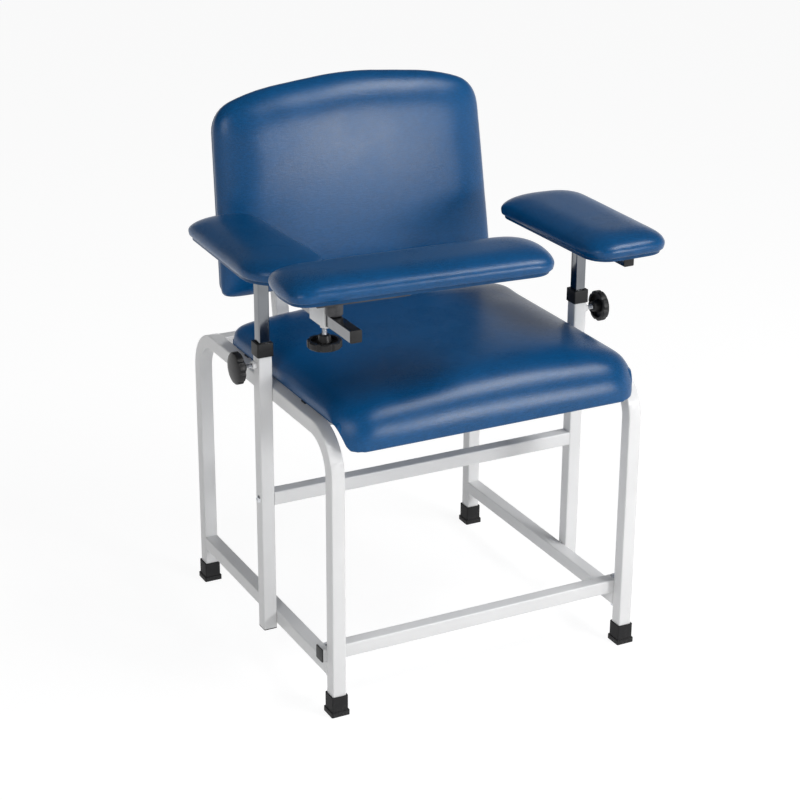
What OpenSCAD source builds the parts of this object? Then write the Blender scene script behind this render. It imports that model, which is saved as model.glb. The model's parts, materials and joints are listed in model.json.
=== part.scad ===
// Blood-drawing chair: a square-tube frame, an upholstered seat and back, two arm pads on
// masts that slide in posts, and a front pad that slides along the left arm and swings aside.
// X runs across the chair, +Y points to its back, +Z is up. The origin is on the floor,
// below the middle of the whole chair.

/* [Frame] */
// Width over the two side frames
frame_w = 598; // [560:1:640]
// Depth over the front and rear legs
frame_d = 592; // [560:1:640]
// Height of the side frames' top rails above the floor
rail_h = 519; // [500:1:535]
// Side of the square frame tube
tube = 25; // [23:0.5:27]
// Wall of the square frame tube
tube_wall = 1.5; // [1.2:0.1:1.8]
// Outer edge radius of the square frame tube
tube_edge = 2.5; // [2.2:0.1:3]
// Centreline radius of the bends at the top of the legs
bend_r = 70; // [55:1:80]
// Height of the underside of the lower side rails
lower_rail_h = 68.5; // [60:0.5:90]
// Distance of the frame's middle behind the origin
frame_set_back = 57.5; // [50:0.5:65]

/* [Crossbars] */
// Distance of the upper crossbar's middle below the arm posts' upper ends
upper_bar_drop = 286.5; // [270:0.5:310]
// Length of the lower crossbar that stands out past each side frame
bar_overhang = 6; // [4:0.5:9]
// Thickness of the head of every plastic tube plug
plug_head = 2; // [1.5:0.1:3]
// Depth of a plastic plug inside its tube
plug_depth = 12; // [8:1:16]
// Length of the nut block in each end of the upper crossbar
nut_block_l = 16; // [12:1:20]

/* [Seat bearers] */
// Distance of the front seat bearer's middle behind the seat board's front end
front_bearer_in = 67; // [60:1:84]
// Distance of the rear seat bearer's middle ahead of the seat board's rear end
rear_bearer_in = 42; // [24:1:64]
// Height of the bearers' tops above the rails
bearer_rise = 3.5; // [3:0.1:5]
// Drop of the back bearer's top below the rails
back_bearer_drop = 6.5; // [5:0.5:9]

/* [Fasteners] */
// Radius of the frame bolts and clamp studs
bolt_r = 4; // [3.5:0.1:4.5]
// Radius of the frame bolts' domed heads
bolt_head_r = 7.5; // [7:0.1:8]
// Height of the frame bolts' domed heads
bolt_head_h = 4; // [3:0.1:5]
// Radius of the washers
washer_r = 9; // [8.5:0.1:10]
// Thickness of the washers
washer_t = 1.5; // [1:0.1:2]
// Width of the nuts across their flats
nut_w = 13; // [12:0.1:14]
// Height of the nuts
nut_h = 8; // [6:0.1:9]
// Radius of the wood screws
screw_r = 2.5; // [2:0.1:3]
// Radius of the wood screws' heads
screw_head_r = 5.5; // [5:0.1:6]
// Height of the wood screws' heads
screw_head_h = 3; // [2:0.1:3.5]
// Depth that the wood screws reach into a board
screw_bite = 7; // [5:0.5:8]

/* [Feet] */
// Width of a rubber foot at the floor
foot_w = 34; // [32:0.5:37]
// Height of the foot's wider base
foot_base_h = 9; // [7:0.5:12]
// Height of the whole foot
foot_h = 37; // [33:0.5:42]
// Wall of the foot's sleeve around the leg
foot_wall = 2.5; // [2:0.1:3]
// Rubber below the end of the leg
foot_sole = 6; // [4:0.5:8]

/* [Arm posts] */
// Distance of the arm posts ahead of the frame's middle
post_y = 52.5; // [40:0.5:65]
// Height of the posts' lower ends
post_low = 62; // [55:0.5:66]
// Height of the posts' upper ends above the rails
post_rise = 80; // [70:1:90]
// Distance of the clamp knobs' axes below the posts' upper ends
clamp_drop = 37; // [32:1:46]
// Height of a guide collar
collar_h = 24; // [20:0.5:26]
// Wall of a guide collar around its post
collar_wall = 2.2; // [1.8:0.1:2.6]
// Thickness of a guide collar above its post
collar_lid = 3; // [2:0.1:4]

/* [Arms] */
// Side of the chrome square tube of the masts and arms
arm_tube = 20; // [19:0.1:20.4]
// Wall of the chrome tube
arm_wall = 1.5; // [1.2:0.1:1.8]
// Outer edge radius of the chrome tube
arm_edge = 2; // [1.9:0.1:2.4]
// Length of a mast below its arm tube
mast_l = 290; // [270:1:290]
// Height of the left arm tube's underside above its post
left_arm_rise = 121; // [100:1:140]
// Height of the right arm tube's underside above its post
right_arm_rise = 93; // [75:1:110]
// Reach of the left arm tube ahead of the post
left_arm_front = 360.5; // [345:0.5:375]
// Reach of the right arm tube ahead of the post
right_arm_front = 160.5; // [150:0.5:170]
// Reach of both arm tubes behind the post
arm_rear = 105; // [90:1:120]

/* [Arm pads] */
// Thickness of the covered board under an arm pad
pad_board_t = 9; // [7:0.5:11]
// Inset of the covered board from the pad's outline
pad_board_inset = 8; // [6:0.5:11]
// Height of a pad above its board
pad_h = 30; // [26:0.5:33]
// Length of the right pad
right_pad_l = 358; // [330:1:370]
// Front width of the right pad
right_pad_front_w = 163; // [150:1:172]
// Rear width of the right pad
right_pad_rear_w = 176; // [160:1:184]
// Reach of the right pad ahead of the post
right_pad_front = 190.5; // [180:0.5:200]
// Distance of the right pad's middle inside its post
right_pad_in = 4.5; // [2:0.5:7]
// Length of the left pad
left_pad_l = 330; // [310:1:340]
// Front width of the left pad
left_pad_front_w = 151; // [140:1:158]
// Rear width of the left pad
left_pad_rear_w = 131; // [122:1:140]
// Reach of the left pad ahead of the post
left_pad_front = 132.5; // [125:0.5:134]
// Distance of the left pad's middle inside its post
left_pad_in = 5.5; // [2:0.5:8]

/* [Front arm] */
// Length of the front pad
front_pad_l = 473; // [440:1:490]
// Width of the front pad at its pivot end
front_pad_near_w = 137; // [128:1:142]
// Width of the front pad at its free end
front_pad_far_w = 146; // [136:1:154]
// Length of the front pad past the pivot's outer side
front_pad_past = 87; // [80:1:92]
// Distance of the front pad's centreline behind the pivot
front_pad_off = 37.5; // [32:0.5:40]
// Angle by which the front pad's free end points forward
front_pad_turn = 3.6; // [0:0.1:6]
// Distance of the pivot ahead of the post
pivot_front = 284.5; // [278:0.5:290]
// Height of the pivot housing above the arm tube
housing_h = 21.5; // [19:0.5:24]
// Radius of the pivot housing
housing_r = 14; // [13:0.1:15]
// Radius of the pivot pin
pivot_r = 6; // [5:0.1:7]
// Thickness of the steel plate under the front pad's board
plate_t = 3.7; // [3:0.1:4.5]
// Width of the steel plate
plate_w = 40; // [36:1:44]
// Length of the steel plate past the pivot's inner side
plate_l = 120; // [110:1:140]
// Length of the carriage sleeve along the arm tube
sleeve_l = 55; // [50:0.5:60]
// Wall of the carriage sleeve
sleeve_wall = 2.5; // [2:0.1:3]
// Distance from the sleeve's front end back to its clamp stud
sleeve_clamp = 28; // [24:0.5:32]
// Length of the sleeve that the pivot housing is let into
housing_let_in = 6; // [4:0.5:8]

/* [Clamp knobs] */
// Radius of a knob over its lobes
knob_r = 28; // [26:0.5:32]
// Height of a knob from hub to face
knob_h = 25; // [23:0.5:30]
// Depth of a knob's rim
knob_rim = 11; // [9:0.5:14]
// Wall of a knob's rim
knob_wall = 6; // [4:0.5:7]
// Thickness of a knob's face
knob_face = 5; // [4:0.5:6]
// Rise of the domed face
knob_dome = 5; // [3:0.5:6]
// Radius of a knob's hub where it meets the face
hub_r = 12; // [10:0.5:14]
// Radius of the hub at its end
hub_tip_r = 9; // [8:0.5:10]
// Number of notches around the rim
knob_notches = 8; // [6:1:10]
// Length of stud that shows between a knob's hub and its nut
stud_show = 12; // [10:0.5:16]

/* [Seat] */
// Distance of the seat cushion's sides inside the frame's outer sides
seat_in = 12; // [4:1:24]
// Depth of the seat cushion
seat_d = 490; // [470:1:510]
// Distance of the cushion's rear end behind the frame's middle
seat_rear = 172; // [160:1:175]
// Thickness of the seat board
seat_board_t = 10; // [8:0.5:12]
// Width by which the seat board lies over each side rail
seat_board_lap = 6; // [4:0.5:8]
// Distance of the seat board's front end behind the cushion's lip
seat_board_inset = 4; // [2:0.5:8]
// Height of the cushion's sides above the board
seat_side_h = 26; // [20:0.5:30]
// Crown of the seat in its middle
seat_crown = 20; // [12:0.5:26]
// Drop of the front lip below the seat board's top
lip_drop = 46; // [40:1:50]
// Depth of the front lip from front to back
lip_d = 50; // [44:1:54]
// Corner reach of the seat's outline
seat_corner = 40; // [30:1:50]
// Softness of the seat's upper edge
seat_soft = 22; // [18:0.5:26]
// Length of a seat buffer
buffer_l = 14; // [10:0.5:18]
// Distance of the front buffers ahead of the frame's middle
front_buffer_y = 146; // [130:1:160]
// Distance of the rear buffers behind the frame's middle
rear_buffer_y = 95; // [80:1:110]
// Distance of the seat screws from the chair's middle plane
seat_screw_x = 190; // [150:1:220]

/* [Back] */
// Height of the back cushion's lower edge above the rails
back_rise = 69; // [62:1:80]
// Distance of that lower edge behind the frame's middle
back_y = 201.5; // [195:0.5:210]
// Angle by which the back leans to the rear
back_lean = 8.8; // [6:0.1:11]
// Height of the back along its own plane
back_h = 390; // [370:1:410]
// Width of the back at its foot
back_low_w = 558; // [540:1:575]
// Width of the back at its shoulders
back_top_w = 535; // [515:1:550]
// Rise of the arched top over the shoulders
back_arch = 46; // [38:1:54]
// Thickness of the back cushion
back_t = 46; // [42:0.5:50]
// Thickness of the back board
back_board_t = 12; // [10:0.5:14]
// Inset of the back board from the cushion's outline
back_board_inset = 8; // [6:0.5:12]
// Softness of the back's front edge
back_soft = 20; // [16:0.5:24]
// Crown of the back cushion
back_crown = 7; // [4:0.5:9]
// Distance of the back uprights from the chair's middle plane
upright_x = 150; // [120:1:180]
// Height of the uprights' tops above the back's lower edge, along the back
upright_up = 214; // [190:1:225]

/* [Hidden] */

// Overrun of every cut past the face that it opens
over = 1;
// Clearance of a pin or bolt in its hole
hole_gap = 0.2;
// Clearance of pieces that slide or turn on each other
slide_gap = 0.5;
// Clearance of faces that nearly meet on moving pieces
skim_gap = 0.3;
// Clearance of a plug in its tube
plug_gap = 0.1;
// Facets of round pieces and of the tubes' rounded edges
$fn = 48;
edge_fn = 24;

left = -1;
right = 1;
leg_x = frame_w / 2 - tube / 2;
leg_y = frame_d / 2 - tube / 2;
rail_z = rail_h - tube / 2;
lower_rail_z = lower_rail_h + tube / 2;
post_x = frame_w / 2 + tube / 2;
post_top = rail_h + post_rise;
clamp_h = post_top - clamp_drop;
upper_bar_h = post_top - upper_bar_drop;
lower_bar_y = leg_y - tube;
lower_bar_z = lower_rail_z + tube;
lower_bar_l = frame_w + 2 * bar_overhang;
bearer_z = rail_h + bearer_rise - tube / 2;
bearer_l = frame_w - 2 * tube;
seat_base = rail_h + bearer_rise;
collar_w = tube + 2 * collar_wall;
nut_r = nut_w / sqrt(3);
foot_sleeve_w = tube + 2 * foot_wall;

// Seat outline, board and screws
seat_w = frame_w - 2 * seat_in;
seat_board_w = frame_w - 2 * tube + 2 * seat_board_lap;
seat_mid_y = seat_rear - seat_d / 2;
seat_board_rear = seat_rear - (seat_w - seat_board_w) / 2 - seat_soft / 2;
seat_board_front = seat_rear - seat_d + lip_d + seat_board_inset;
seat_board_l = seat_board_rear - seat_board_front;
front_bearer_y = -seat_board_front - front_bearer_in;
rear_bearer_y = seat_board_rear - rear_bearer_in;
seat_profile_shares = [[0.45, 0], [0.2, 0.12], [0, 0.34], [0.05, 0.52], [0.3, 0.72], [0.8, 0.88], [1.5, 0.97]];
seat_crown_shares = [0.3, 0.52, 0.74, 0.93];
seat_under_shares = [1, 0.72, 0.44];
seat_front_fall_share = 0.7;
seat_rear_fall_share = 0.15;
lip_end_share = 0.78;

// Back plane, board and uprights
back_low = rail_h + back_rise;
back_half_t = (back_t + back_board_t) / 2;
upright_y = back_half_t + tube / 2;
back_bearer_top = rail_h - back_bearer_drop;
back_bearer_z = back_bearer_top - tube / 2;
upright_foot = (back_bearer_top - back_low + upright_y * sin(back_lean)) / cos(back_lean);
back_bearer_y = back_y + upright_y * cos(back_lean) + upright_foot * sin(back_lean);
back_screw_up_shares = [0.25, 0.8];
back_profile_shares = [[0.35, 0], [0.12, 0.12], [0, 0.34], [0.04, 0.52], [0.3, 0.72], [0.85, 0.9], [1.5, 1]];
back_crown_shares = [0.3, 0.52, 0.74, 0.93];

// Arm pads: corner reaches and the cross-section from the board up
pad_profile_shares = [[0.07, 0], [0.02, 0.1], [0, 0.26], [0.006, 0.42], [0.035, 0.58], [0.09, 0.72],
    [0.17, 0.83], [0.29, 0.91], [0.45, 0.965], [0.65, 0.99], [0.86, 1]];
pad_narrow_reach = right_pad_front_w / 4;
pad_wide_reach = right_pad_rear_w / 7;
pad_narrow_bulge = right_pad_front_w / 40;
pad_wide_bulge = right_pad_rear_w / 8;
left_front_reach = left_pad_front_w / 2.3;
left_rear_reach = left_pad_rear_w / 6;
left_bulge = left_pad_rear_w / 33;
front_near_reach = front_pad_near_w / 5;
front_far_reach = front_pad_far_w / 4.4;
front_round_reach = front_pad_far_w / 1.6;
front_bulge = front_pad_far_w / 14;
corner_steps = 7;

// Arm heights and the carriage on the left arm tube
left_arm_h = post_top + left_arm_rise;
right_arm_h = post_top + right_arm_rise;
left_tube_top = left_arm_h + arm_tube;
right_tube_top = right_arm_h + arm_tube;
pivot_y = -post_y - pivot_front;
sleeve_front = pivot_y + housing_r - housing_let_in;
sleeve_w = arm_tube + 2 * slide_gap + 2 * sleeve_wall;
sleeve_low = left_arm_h - slide_gap - sleeve_wall;
housing_low = left_tube_top + slide_gap;
housing_top = housing_low + housing_h;
plate_low = housing_top + skim_gap;
front_board_low = plate_low + plate_t;
front_clamp_y = sleeve_front + sleeve_clamp;
pad_screw_shares = [0.22, 0.8];
plate_screw_shares = [0.5, 0.85];
plate_past = plate_w * 0.9;

// Clamp knob: hub end at zero, face up
knob_mouth = knob_h - knob_dome - knob_rim;
knob_shoulder = knob_h - knob_dome;
knob_floor = knob_shoulder - knob_face;
knob_chamfer = knob_wall / 5;
knob_bore = knob_h / 2;
notch_r = knob_wall * 0.85;
dome_steps = 6;

// Moves a piece from the frame's own middle to its place behind the origin
module placed() {
    translate([0, frame_set_back, 0]) children();
}

// Turns a piece that is drawn upright to lie along X
module along_x() {
    rotate([0, 90, 0]) children();
}

// Turns a piece that is drawn upright to lie along Y
module along_y() {
    rotate([-90, 0, 0]) children();
}

// Moves a piece to the back's own plane: Y to the rear, Z up the back
module in_back() {
    translate([0, back_y, back_low]) rotate([-back_lean, 0, 0]) children();
}

// Moves a piece to the front pad's own frame, with the pivot at zero and the pad along +X
module in_front_arm() {
    translate([left * post_x, pivot_y, front_board_low]) rotate([0, 0, -front_pad_turn]) children();
}

// Square with rounded edges, centred
module rounded_square(w, edge) {
    square([w, w - 2 * edge], center = true);
    square([w - 2 * edge, w], center = true);
    for (x = [-1, 1], y = [-1, 1]) {
        translate([x, y] * (w / 2 - edge)) circle(r = edge, $fn = edge_fn);
    }
}

// Section of a square tube
module tube_section(w, wall, edge) {
    difference() {
        rounded_square(w, edge);
        rounded_square(w - 2 * wall, edge - wall);
    }
}

// Straight square tube of the frame, standing on zero
module frame_tube(l) {
    linear_extrude(l) tube_section(tube, tube_wall, tube_edge);
}

// Straight square tube of the arms, standing on zero
module chrome_tube(l) {
    linear_extrude(l) tube_section(arm_tube, arm_wall, arm_edge);
}

// Plug for a square tube whose end face is at zero: head outside, body inside
module tube_plug(w, wall, edge) {
    translate([0, 0, -plug_head]) linear_extrude(plug_head) rounded_square(w, edge);
    linear_extrude(plug_depth) rounded_square(w - 2 * wall - 2 * plug_gap, edge - wall);
}

// Hexagon nut with its bore, standing on zero
module hex_nut() {
    difference() {
        cylinder(r = nut_r, h = nut_h, $fn = 6);
        translate([0, 0, -over]) cylinder(r = bolt_r + hole_gap, h = nut_h + 2 * over);
    }
}

// Domed head, standing on zero
module domed_head(r, h) {
    ball = (r * r + h * h) / (2 * h);
    intersection() {
        translate([0, 0, h - ball]) sphere(r = ball);
        cylinder(r = r, h = h);
    }
}

// Frame bolt with its head's seat at zero and its shank down
module dome_bolt(l) {
    domed_head(bolt_head_r, bolt_head_h);
    translate([0, 0, -l]) cylinder(r = bolt_r, h = l + over);
}

// Wood screw with its head's seat at zero, its head down and its shank up
module wood_screw(l) {
    mirror([0, 0, 1]) domed_head(screw_head_r, screw_head_h);
    translate([0, 0, -over]) cylinder(r = screw_r, h = l + over);
}

// Round hole along Z through a stretch from zero to l
module hole(r, l) {
    translate([0, 0, -over]) cylinder(r = r + hole_gap, h = l + 2 * over);
}

// Points of the arc that rounds the corner p between its neighbours a and b
function corner_arc(a, p, b, reach) =
    let (u = (a - p) / norm(a - p), v = (b - p) / norm(b - p))
    let (half = acos(u * v) / 2, r = reach * tan(half))
    let (c = p + (u + v) / norm(u + v) * reach / cos(half), s = p + u * reach - c)
    [for (i = [0:corner_steps])
        let (turn = atan2(s.y, s.x) + (180 - 2 * half) * i / corner_steps)
        c + r * [cos(turn), sin(turn)]];

// Convex outline with each corner rounded over its own reach
function rounded(corners, reaches) =
    let (n = len(corners))
    [for (i = [0:n - 1]) each
        corner_arc(corners[(i + n - 1) % n], corners[i], corners[(i + 1) % n], reaches[i])];

// The same outline with points added so that no side is longer than most
function refined(outline, most) =
    let (n = len(outline))
    [for (i = [0:n - 1])
        let (p = outline[i], q = outline[(i + 1) % n], parts = max(1, ceil(norm(q - p) / most)))
        for (k = [0:parts - 1]) p + (q - p) * k / parts];

// Outline drawn in by one distance on all sides; half holds its half width and half length
function drawn_in(outline, half, inset) =
    [for (p = outline) [p.x * (1 - inset / half.x), p.y * (1 - inset / half.y)]];

// Closed skin over rings of points that all have the same count, from the lowest ring to the highest
module skin(rings) {
    n = len(rings[0]);
    m = len(rings);
    low = [for (axis = [0:2]) [for (p = rings[0]) 1] * [for (p = rings[0]) p[axis]] / n];
    high = [for (axis = [0:2]) [for (p = rings[m - 1]) 1] * [for (p = rings[m - 1]) p[axis]] / n];
    points = [for (r = rings) each r, low, high];
    sides = [for (j = [0:m - 2], i = [0:n - 1])
        let (a = j * n + i, b = j * n + (i + 1) % n)
        each [[a, a + n, b + n], [a, b + n, b]]];
    ends = [for (i = [0:n - 1])
        let (k = (i + 1) % n)
        each [[n * m, i, k], [n * m + 1, (m - 1) * n + k, (m - 1) * n + i]]];
    polyhedron(points, concat(sides, ends));
}

// Arm pad on zero: sides drawn in at the board, bulging out, and a low crown on top
module pad_form(outline, half) {
    skin([for (s = pad_profile_shares)
        [for (p = drawn_in(outline, half, s[0] * half.x)) [p.x, p.y, s[1] * pad_h]]]);
}

// Covered board under an arm pad, with screw holes in its underside
module pad_board(outline, half, holes) {
    difference() {
        linear_extrude(pad_board_t) polygon(drawn_in(outline, half, pad_board_inset));
        for (h = holes) translate([h.x, h.y, 0]) blind_hole();
    }
}

// Hole for a wood screw that opens downwards at zero
module blind_hole() {
    translate([0, 0, -over]) cylinder(r = screw_r + plug_gap, h = screw_bite + over + plug_gap);
}

// Corners of a pad that points along -Y, from its front left round to its rear left
function pad_corners(front_w, rear_w, l, front_bulge, rear_bulge) =
    [[-front_w / 2, front_bulge - l / 2], [0, -l / 2], [front_w / 2, front_bulge - l / 2],
     [rear_w / 2, l / 2 - rear_bulge], [0, l / 2], [-rear_w / 2, l / 2 - rear_bulge]];

right_pad_outline = rounded(
    pad_corners(right_pad_front_w, right_pad_rear_w, right_pad_l, pad_narrow_bulge, pad_wide_bulge),
    [pad_narrow_reach, pad_narrow_reach, pad_narrow_reach, pad_wide_reach, 2 * pad_wide_reach, pad_wide_reach]);
right_pad_half = [right_pad_rear_w, right_pad_l] / 2;
left_pad_outline = rounded(
    pad_corners(left_pad_front_w, left_pad_rear_w, left_pad_l, left_bulge, left_bulge),
    [left_front_reach, left_bulge, left_front_reach, left_rear_reach, left_rear_reach, left_rear_reach]);
left_pad_half = [left_pad_front_w, left_pad_l] / 2;

// Front pad along X with its pivot end at -X; its far rear corner is the roundest
front_pad_half = [front_pad_l, front_pad_far_w] / 2;
front_pad_outline = rounded(
    [[-front_pad_l / 2 + front_bulge, -front_pad_near_w / 2], [front_pad_l / 2 - front_bulge, -front_pad_far_w / 2],
     [front_pad_l / 2, 0], [front_pad_l / 2 - front_bulge, front_pad_far_w / 2],
     [-front_pad_l / 2 + front_bulge, front_pad_near_w / 2], [-front_pad_l / 2, 0]],
    [front_near_reach, front_far_reach, front_bulge, front_round_reach / 2, front_near_reach, front_near_reach]);
front_pad_mid = [front_pad_l / 2 - front_pad_past, front_pad_off];

seat_half = [seat_w, seat_d] / 2;
seat_outline = refined(rounded(
    [[-seat_w / 2, -seat_d / 2], [seat_w / 2, -seat_d / 2], [seat_w / 2, seat_d / 2], [-seat_w / 2, seat_d / 2]],
    [lip_d, lip_d, seat_corner, seat_corner]), seat_w / 7);

// Share of the lip's drop at a distance behind the seat's front end
function lip_share(back) =
    let (t = min(1, max(0, 1 - (back - seat_soft / 2) / (lip_end_share * lip_d - seat_soft / 2))))
    t * t * (3 - 2 * t);

// Underside and upper side of the seat cushion at a point of its plan, from the board's top up
function seat_under(p) = -lip_drop * lip_share(p.y + seat_d / 2);
function seat_over(p) =
    let (fall = p.y < 0 ? seat_front_fall_share : seat_rear_fall_share)
    seat_side_h + seat_crown * (1 - pow(p.x / seat_half.x, 2)) * (1 - fall * pow(p.y / seat_half.y, 4));

function seat_ring(inset, level) =
    [for (p = drawn_in(seat_outline, seat_half, inset))
        [p.x, p.y, seat_under(p) * (1 - level) + seat_over(p) * level]];

back_outline = refined(rounded(
    [[-back_low_w / 2, 0], [back_low_w / 2, 0], [back_top_w / 2, back_h - back_arch],
     [back_top_w / 3, back_h - back_arch / 2.6], [0, back_h],
     [-back_top_w / 3, back_h - back_arch / 2.6], [-back_top_w / 2, back_h - back_arch]],
    [back_soft, back_soft, 2 * back_soft, 2 * back_soft, 3 * back_soft, 2 * back_soft, 2 * back_soft]),
    back_low_w / 5);
back_half = [back_low_w / 2, back_h / 2];

// Ring of the back cushion: outline about its own middle, drawn in, at a depth from the board
function back_ring(inset, depth) =
    let (mid = [for (p = back_outline) p - [0, back_h / 2]])
    [for (p = drawn_in(mid, back_half, inset)) [p.x, p.y + back_h / 2, depth]];

// Side frame: two legs, two bends and the top rail, one tube
module side_frame(side) {
    bend_y = leg_y - bend_r;
    bend_z = rail_z - bend_r;
    translate([side * leg_x, 0, 0]) {
        for (end = [0, 1]) mirror([0, end, 0]) {
            translate([0, leg_y, foot_sole]) frame_tube(bend_z - foot_sole);
            translate([0, bend_y, bend_z]) rotate([90, 0, 90]) rotate_extrude(angle = 90)
                translate([bend_r, 0]) tube_section(tube, tube_wall, tube_edge);
        }
        translate([0, -bend_y, rail_z]) along_y() frame_tube(2 * bend_y);
    }
}

module lower_rail(side) {
    l = 2 * leg_y - tube;
    difference() {
        translate([side * leg_x, -l / 2, lower_rail_z]) along_y() frame_tube(l);
        translate([side * leg_x, -lower_bar_y, lower_rail_h]) hole(bolt_r, tube);
    }
}

module arm_post(side) {
    difference() {
        translate([side * post_x, -post_y, post_low]) frame_tube(post_top - post_low);
        translate([side * post_x, -post_y, clamp_h]) rotate([0, side * 90, 0]) hole(bolt_r, tube / 2);
        translate([side * post_x - tube / 2, -post_y, upper_bar_h]) along_x() hole(bolt_r, tube);
    }
}

module post_collar(side) {
    translate([side * post_x, -post_y, post_top]) difference() {
        translate([0, 0, collar_lid - collar_h]) linear_extrude(collar_h)
            rounded_square(collar_w, tube_edge);
        translate([0, 0, -collar_h]) linear_extrude(collar_h)
            rounded_square(tube + 2 * plug_gap, tube_edge);
        translate([0, 0, -over]) linear_extrude(collar_lid + 2 * over)
            rounded_square(arm_tube + 2 * skim_gap, arm_edge);
    }
}

module rubber_foot(side, end) {
    translate([side * leg_x, end * leg_y, 0]) difference() {
        union() {
            linear_extrude(foot_base_h) rounded_square(foot_w, tube_edge);
            linear_extrude(foot_h) rounded_square(foot_sleeve_w, tube_edge);
        }
        translate([0, 0, foot_sole]) linear_extrude(foot_h) rounded_square(tube, tube_edge);
    }
}

module seat_bearer(y, z, holes) {
    difference() {
        translate([-bearer_l / 2, y, z]) along_x() frame_tube(bearer_l);
        for (x = holes) translate([x, y, z - tube / 2]) hole(screw_r, tube);
    }
}

module back_upright(side) {
    foot_cut = 2 * tube;
    difference() {
        in_back() difference() {
            translate([side * upright_x, upright_y, upright_foot - tube]) frame_tube(upright_up - upright_foot + tube);
            for (s = back_screw_up_shares) {
                translate([side * upright_x, back_half_t, s * upright_up]) along_y() hole(screw_r, tube);
            }
        }
        translate([side * upright_x - tube, back_bearer_y - tube, back_bearer_top - foot_cut])
            cube([2 * tube, 2 * tube, foot_cut]);
    }
}

// Mast and arm tube of one side, hung from the arm tube's underside
module mast(side, arm_h) {
    translate([side * post_x, -post_y, arm_h - mast_l]) chrome_tube(mast_l);
}

module arm_tube_piece(side, arm_h, front, screws) {
    difference() {
        translate([side * post_x, -post_y - front, arm_h + arm_tube / 2]) along_y() chrome_tube(front + arm_rear);
        for (y = screws) translate([side * post_x, y, arm_h]) hole(screw_r, arm_tube);
    }
}

module arm_plugs(side, arm_h, front) {
    translate([side * post_x, -post_y - front, arm_h + arm_tube / 2]) along_y() tube_plug(arm_tube, arm_wall, arm_edge);
    translate([side * post_x, -post_y + arm_rear, arm_h + arm_tube / 2]) rotate([90, 0, 0])
        tube_plug(arm_tube, arm_wall, arm_edge);
}

// Places of a pad's screws along its arm tube, within the part of the tube below the pad
function screw_places(front) = [for (s = pad_screw_shares) -post_y - front + s * (front + arm_rear)];
left_screws = screw_places(left_pad_front);
right_screws = screw_places(right_arm_front);

// Clamp knob with its hub's end at zero and its face up
module star_knob() {
    difference() {
        rotate_extrude() polygon(concat(
            [[bolt_r + plug_gap, 0], [hub_tip_r - knob_chamfer, 0], [hub_tip_r, knob_chamfer], [hub_r, knob_floor],
             [knob_r - knob_wall, knob_floor], [knob_r - knob_wall, knob_mouth],
             [knob_r - knob_chamfer, knob_mouth], [knob_r, knob_mouth + knob_chamfer]],
            [for (i = [0:dome_steps]) let (t = 90 * i / dome_steps)
                [knob_r * cos(t), knob_shoulder - knob_chamfer + (knob_dome + knob_chamfer) * sin(t)]],
            [[0, knob_bore], [bolt_r + plug_gap, knob_bore]]));
        for (i = [0:knob_notches - 1]) rotate([0, 0, 360 * i / knob_notches])
            translate([knob_r + notch_r / 2, 0, knob_mouth - over]) cylinder(r = notch_r, h = knob_h);
    }
}

// Threaded stud from its tip at zero, with a small chamfered tip
module stud(l) {
    tip = bolt_r / 4;
    cylinder(r1 = bolt_r - tip, r2 = bolt_r, h = tip);
    translate([0, 0, tip]) cylinder(r = bolt_r, h = l - tip);
}

// Moves a clamp's piece to a post: zero at the mast's face, +Z outwards
module at_side_clamp(side) {
    translate([side * (post_x + arm_tube / 2 + skim_gap), -post_y, clamp_h]) rotate([0, side * 90, 0]) children();
}

// Moves a clamp's piece to the carriage: zero just below the arm tube, +Z downwards
module at_front_clamp() {
    translate([left * post_x, front_clamp_y, left_arm_h - skim_gap]) rotate([180, 0, 0]) children();
}

// Distance from the mast to the post's outer face, and from the arm tube to the sleeve's underside
side_wall_out = (tube - arm_tube) / 2 - skim_gap;
front_wall_out = slide_gap + sleeve_wall - skim_gap;
side_hub = side_wall_out + nut_h + stud_show;
front_hub = front_wall_out + nut_h + stud_show;

module left_side_frame() color("whitesmoke") placed() side_frame(left);
module right_side_frame() color("whitesmoke") placed() side_frame(right);
module left_lower_rail() color("whitesmoke") placed() lower_rail(left);
module right_lower_rail() color("whitesmoke") placed() lower_rail(right);
module left_arm_post() color("whitesmoke") placed() arm_post(left);
module right_arm_post() color("whitesmoke") placed() arm_post(right);
module left_post_collar() color([0.12, 0.12, 0.13]) placed() post_collar(left);
module right_post_collar() color([0.12, 0.12, 0.13]) placed() post_collar(right);

module post_end_plugs() color([0.12, 0.12, 0.13]) placed() {
    for (side = [left, right]) translate([side * post_x, -post_y, post_low]) tube_plug(tube, tube_wall, tube_edge);
}

module post_weld_nuts() color("whitesmoke") placed() {
    for (side = [left, right]) at_side_clamp(side) translate([0, 0, side_wall_out]) hex_nut();
}

module upper_crossbar() color("whitesmoke") placed() {
    translate([-frame_w / 2, -post_y, upper_bar_h]) along_x() frame_tube(frame_w);
}

module crossbar_nut_blocks() color("silver") placed() {
    block_w = tube - 2 * tube_wall - 2 * plug_gap;
    for (side = [left, right]) translate([side * frame_w / 2, -post_y, upper_bar_h]) rotate([0, -side * 90, 0])
        difference() {
            linear_extrude(nut_block_l) rounded_square(block_w, tube_edge - tube_wall);
            hole(bolt_r, nut_block_l);
        }
}

module upper_crossbar_bolts() color("silver") placed() {
    for (side = [left, right]) translate([side * (post_x + tube / 2), -post_y, upper_bar_h])
        rotate([0, side * 90, 0]) dome_bolt(tube + nut_block_l);
}

module lower_crossbar() color("whitesmoke") placed() {
    difference() {
        translate([-lower_bar_l / 2, -lower_bar_y, lower_bar_z]) along_x() frame_tube(lower_bar_l);
        for (side = [left, right]) {
            translate([side * leg_x, -lower_bar_y, lower_bar_z - tube / 2]) hole(bolt_r, tube);
        }
    }
}

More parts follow.
